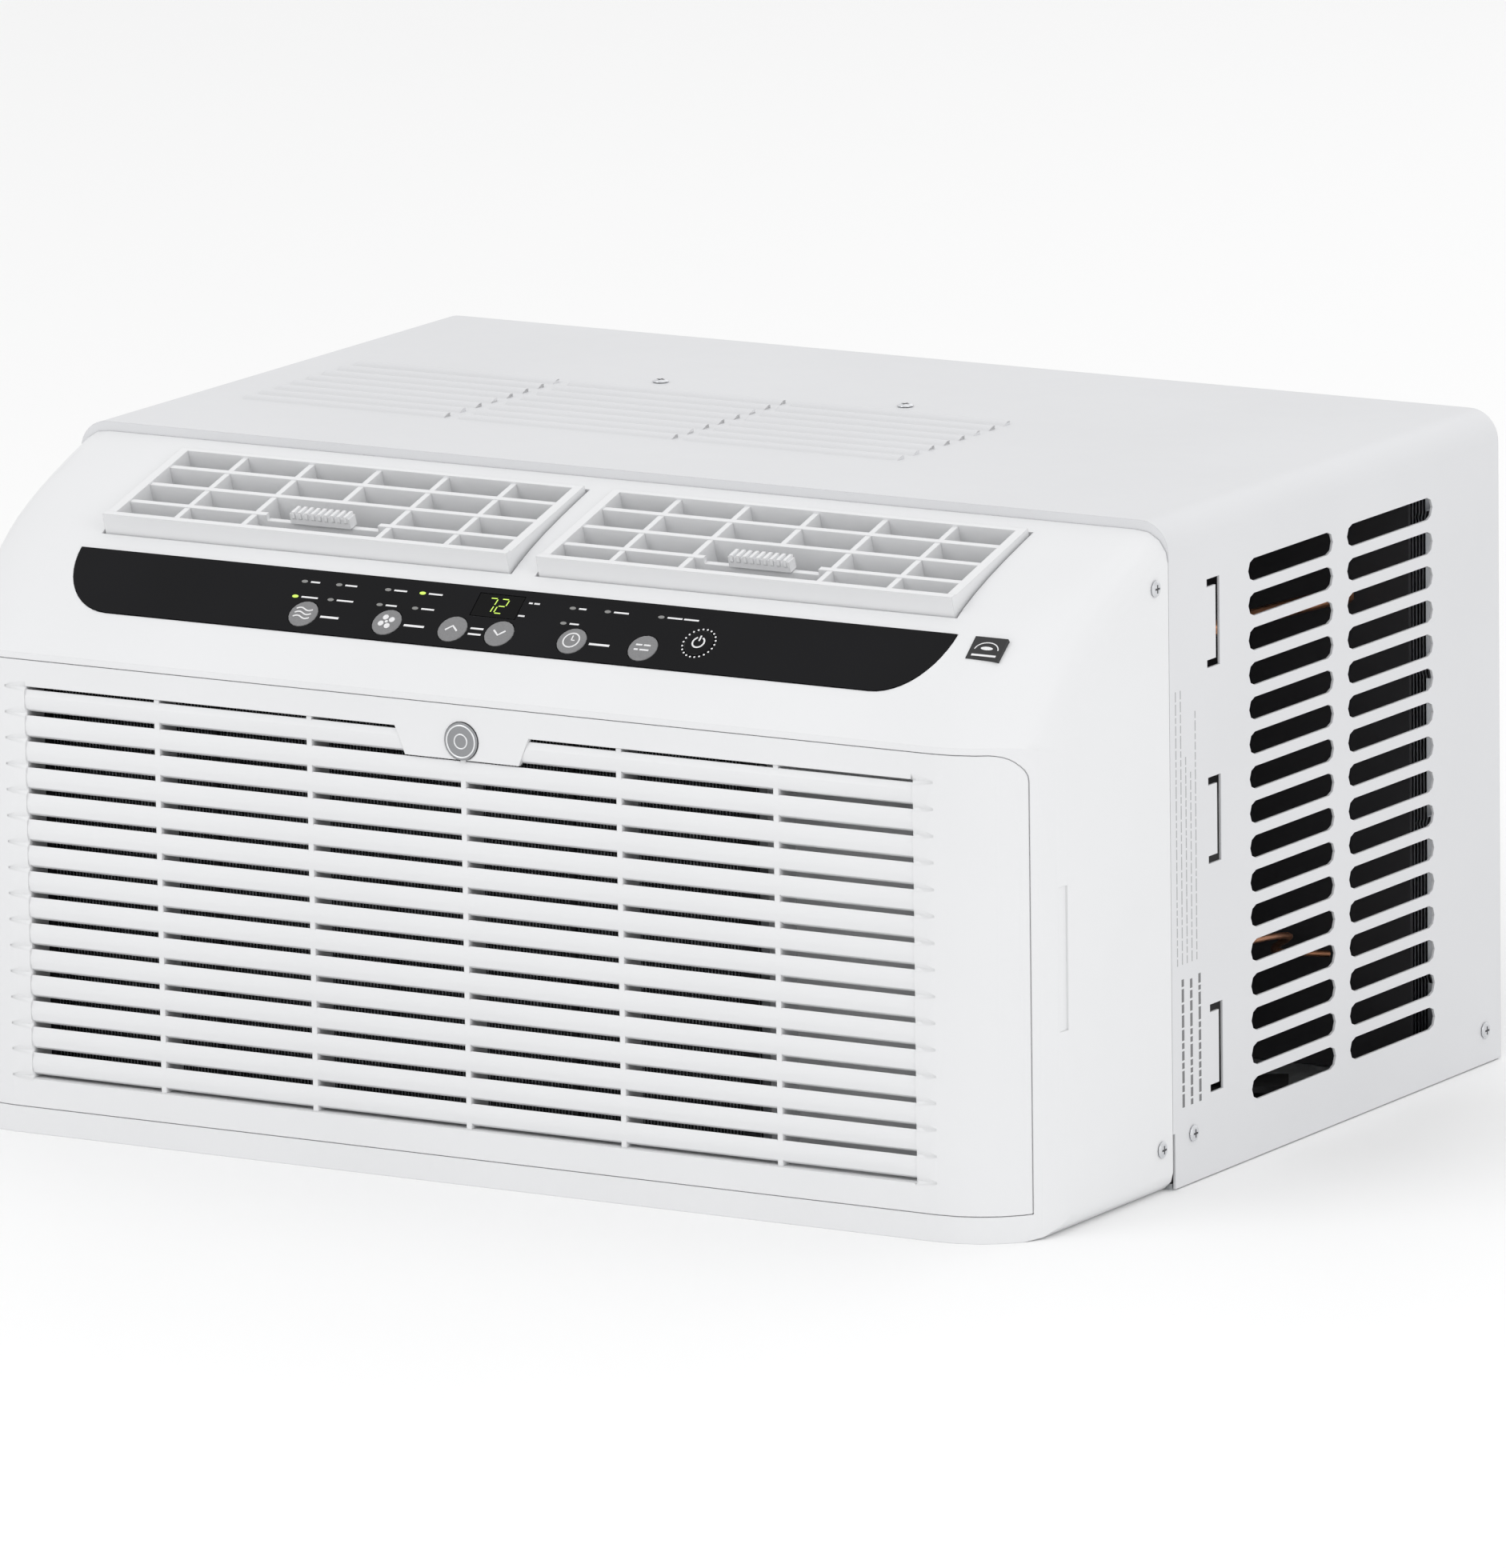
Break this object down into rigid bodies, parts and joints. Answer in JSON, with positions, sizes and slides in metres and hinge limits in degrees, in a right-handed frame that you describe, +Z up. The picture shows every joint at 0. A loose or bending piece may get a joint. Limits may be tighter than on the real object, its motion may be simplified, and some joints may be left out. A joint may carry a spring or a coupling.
{
  "type": "window air conditioner",
  "caption": "Window air conditioner: white moulded front with louvred intake grille, glossy button strip, tilting outlet baskets and a slotted sheet-metal case.",
  "frame": {"origin": "middle of the underside, at the centre of the overall width and depth", "axes": "+X to the right seen from the room, +Y out of the window (front grille faces -Y), +Z up"},
  "size_m": [0.6, 0.4644, 0.3187],
  "materials": {
    "badge_metal": null,
    "black_enamel": "semi-gloss enamel",
    "black_gloss": "gloss",
    "button_grey": "satin membrane button",
    "capacitor_can": "drawn can",
    "case_paint": "satin powder coat on sheet steel",
    "circuit_board": "satin",
    "copper": "drawn copper",
    "dark_plastic": "satin",
    "filter_plastic": "matt",
    "fin_aluminium": "fine pitched fins",
    "galvanised_steel": "galvanised sheet",
    "rubber": "matt",
    "screw_steel": "zinc-plated",
    "shaft_steel": "ground",
    "shroud_plastic": "satin moulded plastic",
    "white_plastic": "fine satin moulded plastic"
  },
  "bodies": {
    "chassis": {"cabinet": "case_paint", "base_pan": "galvanised_steel", "front_bezel": "white_plastic", "control_panel": "black_gloss", "display_window": "black_gloss", "control_board": "circuit_board", "evaporator_coil": "fin_aluminium", "condenser_coil": "fin_aluminium", "front_duct_panel": "white_plastic", "outlet_duct": "white_plastic", "blower_scroll": "dark_plastic", "bulkhead": "galvanised_steel", "fan_motor": "black_enamel", "motor_bracket": "galvanised_steel", "fan_shroud": "shroud_plastic", "compressor": "black_enamel", "accumulator": "copper", "discharge_line": "copper", "suction_line": "copper", "capillary_tube": "copper", "control_box": "galvanised_steel", "capacitor": "capacitor_can", "drain_plug": "rubber", "cord_bush": "rubber", "left_front_upper_screw": "screw_steel", "right_front_upper_screw": "screw_steel", "left_front_lower_screw": "screw_steel", "right_front_lower_screw": "screw_steel", "left_case_front_screw": "screw_steel", "right_case_front_screw": "screw_steel", "left_case_rear_screw": "screw_steel", "right_case_rear_screw": "screw_steel", "top_left_screw": "screw_steel", "top_right_screw": "screw_steel"},
    "grille": {"intake_grille": "white_plastic", "badge": "badge_metal", "filter_frame": "filter_plastic", "filter_mesh": "filter_plastic"},
    "rotor": {"motor_shaft": "shaft_steel", "blower_wheel": "dark_plastic", "condenser_fan": "dark_plastic"},
    "left_basket": {"left_outlet_basket": "white_plastic"},
    "left_grip": {"left_vane_grip": "white_plastic"},
    "left_vane_1": {"left_vane_1": "white_plastic"},
    "left_vane_2": {"left_vane_2": "white_plastic"},
    "left_vane_3": {"left_vane_3": "white_plastic"},
    "left_vane_4": {"left_vane_4": "white_plastic"},
    "right_basket": {"right_outlet_basket": "white_plastic"},
    "right_grip": {"right_vane_grip": "white_plastic"},
    "right_vane_1": {"right_vane_1": "white_plastic"},
    "right_vane_2": {"right_vane_2": "white_plastic"},
    "right_vane_3": {"right_vane_3": "white_plastic"},
    "right_vane_4": {"right_vane_4": "white_plastic"},
    "button_mode": {"button_mode": "button_grey"},
    "button_speed": {"button_speed": "button_grey"},
    "button_temperature_up": {"button_temperature_up": "button_grey"},
    "button_temperature_down": {"button_temperature_down": "button_grey"},
    "button_timer": {"button_timer": "button_grey"},
    "button_filter_reset": {"button_filter_reset": "button_grey"},
    "button_power": {"button_power": "button_grey"}
  },
  "joints": [
    {"name": "grille_tilt", "type": "hinge", "parent": "chassis", "child": "grille", "pos_m": [0, -0.23135, 0.013], "axis": [1, 0, 0], "range_deg": [0, 60]},
    {"name": "rotor_spin", "type": "hinge", "parent": "chassis", "child": "rotor", "pos_m": [-0.062, 0.00865, 0.146], "axis": [0, 1, 0], "continuous": true},
    {"name": "left_basket_tilt", "type": "hinge", "parent": "chassis", "child": "left_basket", "pos_m": [-0.12, -0.10459, 0.30915], "axis": [-1, 0, 0], "range_deg": [-5, 9]},
    {"name": "left_grip_slide", "type": "slide", "parent": "left_basket", "child": "left_grip", "axis": [1, 0, 0], "range_m": [-0.012, 0.012]},
    {"name": "left_vane_1_turn", "type": "hinge", "parent": "left_basket", "child": "left_vane_1", "pos_m": [-0.1872, -0.1332, 0.27721], "axis": [0, -0.284, 0.9588], "range_deg": [-25, 25]},
    {"name": "left_vane_2_turn", "type": "hinge", "parent": "left_basket", "child": "left_vane_2", "pos_m": [-0.1424, -0.1332, 0.27721], "axis": [0, -0.284, 0.9588], "range_deg": [-25, 25]},
    {"name": "left_vane_3_turn", "type": "hinge", "parent": "left_basket", "child": "left_vane_3", "pos_m": [-0.0976, -0.1332, 0.27721], "axis": [0, -0.284, 0.9588], "range_deg": [-25, 25]},
    {"name": "left_vane_4_turn", "type": "hinge", "parent": "left_basket", "child": "left_vane_4", "pos_m": [-0.0528, -0.1332, 0.27721], "axis": [0, -0.284, 0.9588], "range_deg": [-25, 25]},
    {"name": "right_basket_tilt", "type": "hinge", "parent": "chassis", "child": "right_basket", "pos_m": [0.12, -0.10459, 0.30915], "axis": [-1, 0, 0], "range_deg": [-5, 9]},
    {"name": "right_grip_slide", "type": "slide", "parent": "right_basket", "child": "right_grip", "axis": [1, 0, 0], "range_m": [-0.012, 0.012]},
    {"name": "right_vane_1_turn", "type": "hinge", "parent": "right_basket", "child": "right_vane_1", "pos_m": [0.0528, -0.1332, 0.27721], "axis": [0, -0.284, 0.9588], "range_deg": [-25, 25]},
    {"name": "right_vane_2_turn", "type": "hinge", "parent": "right_basket", "child": "right_vane_2", "pos_m": [0.0976, -0.1332, 0.27721], "axis": [0, -0.284, 0.9588], "range_deg": [-25, 25]},
    {"name": "right_vane_3_turn", "type": "hinge", "parent": "right_basket", "child": "right_vane_3", "pos_m": [0.1424, -0.1332, 0.27721], "axis": [0, -0.284, 0.9588], "range_deg": [-25, 25]},
    {"name": "right_vane_4_turn", "type": "hinge", "parent": "right_basket", "child": "right_vane_4", "pos_m": [0.1872, -0.1332, 0.27721], "axis": [0, -0.284, 0.9588], "range_deg": [-25, 25]},
    {"name": "mode_press", "type": "slide", "parent": "chassis", "child": "button_mode", "axis": [0, 0.6455, -0.7638], "range_m": [0, 0.0008], "stiffness_N_per_m": 400},
    {"name": "speed_press", "type": "slide", "parent": "chassis", "child": "button_speed", "axis": [0, 0.6455, -0.7638], "range_m": [0, 0.0008], "stiffness_N_per_m": 400},
    {"name": "temperature_up_press", "type": "slide", "parent": "chassis", "child": "button_temperature_up", "axis": [0, 0.6455, -0.7638], "range_m": [0, 0.0008], "stiffness_N_per_m": 400},
    {"name": "temperature_down_press", "type": "slide", "parent": "chassis", "child": "button_temperature_down", "axis": [0, 0.6455, -0.7638], "range_m": [0, 0.0008], "stiffness_N_per_m": 400},
    {"name": "timer_press", "type": "slide", "parent": "chassis", "child": "button_timer", "axis": [0, 0.6455, -0.7638], "range_m": [0, 0.0008], "stiffness_N_per_m": 400},
    {"name": "filter_reset_press", "type": "slide", "parent": "chassis", "child": "button_filter_reset", "axis": [0, 0.6455, -0.7638], "range_m": [0, 0.0008], "stiffness_N_per_m": 400},
    {"name": "power_press", "type": "slide", "parent": "chassis", "child": "button_power", "axis": [0, 0.6455, -0.7638], "range_m": [0, 0.0008], "stiffness_N_per_m": 400}
  ],
  "couplings": [
    {"joint": "left_vane_1_turn", "follows": "left_grip_slide", "rad_per_m": 36},
    {"joint": "left_vane_2_turn", "follows": "left_grip_slide", "rad_per_m": 36},
    {"joint": "left_vane_3_turn", "follows": "left_grip_slide", "rad_per_m": 36},
    {"joint": "left_vane_4_turn", "follows": "left_grip_slide", "rad_per_m": 36},
    {"joint": "right_vane_1_turn", "follows": "right_grip_slide", "rad_per_m": 36},
    {"joint": "right_vane_2_turn", "follows": "right_grip_slide", "rad_per_m": 36},
    {"joint": "right_vane_3_turn", "follows": "right_grip_slide", "rad_per_m": 36},
    {"joint": "right_vane_4_turn", "follows": "right_grip_slide", "rad_per_m": 36}
  ]
}
